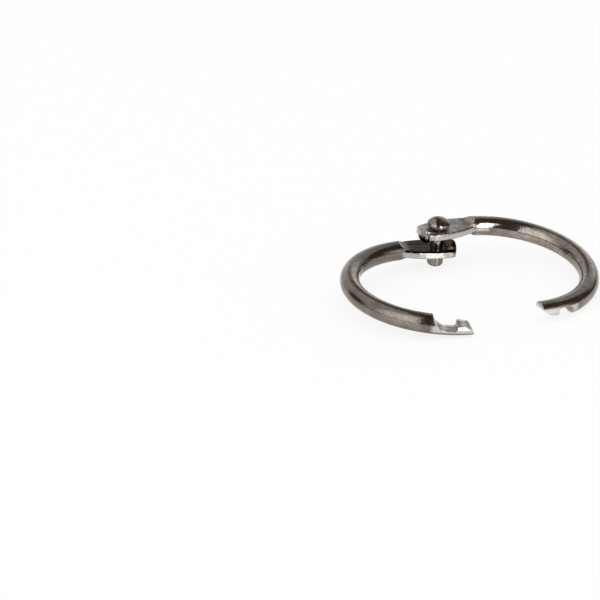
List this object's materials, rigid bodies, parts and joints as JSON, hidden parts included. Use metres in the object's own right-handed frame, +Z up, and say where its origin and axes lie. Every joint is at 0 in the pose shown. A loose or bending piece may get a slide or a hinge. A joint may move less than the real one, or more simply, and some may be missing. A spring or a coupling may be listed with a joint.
{
  "type": "binder ring",
  "caption": "Hinged wire ring that opens on a loose rivet and latches by two hooked ends, for holding punched sheets.",
  "frame": {"origin": "middle of the ring's outline on the table it lies on, at the lowest point", "axes": "+Z up from the table, -Y toward the ring's open mouth, +X toward the upper half ring; the rivet's axis leans 6.8 degrees from +Z because the ring lies on the rivet's tail and one point of each wire"},
  "size_m": [0.0372, 0.0285, 0.0075],
  "materials": {
    "plated_wire_lower": "bright nickel plate over drawn steel wire, faint draw marks",
    "plated_wire_upper": "bright nickel plate over drawn steel wire, faint draw marks",
    "plated_rivet": "bright nickel plate, slightly uneven formed head"
  },
  "bodies": {
    "lower_half": {"lower_half_ring": "plated_wire_lower"},
    "rivet_pin": {"rivet": "plated_rivet"},
    "upper_half": {"upper_half_ring": "plated_wire_upper"}
  },
  "joints": [
    {"name": "rivet_float", "type": "slide", "parent": "lower_half", "child": "rivet_pin", "axis": [0.0671, -0.0978, 0.9929], "range_m": [-0.0009, 0]},
    {"name": "ring_swing", "type": "hinge", "parent": "rivet_pin", "child": "upper_half", "pos_m": [-0.00006, 0.01175, 0.00247], "axis": [0.0671, -0.0978, 0.9929], "range_deg": [-33.5, 46.5]}
  ]
}
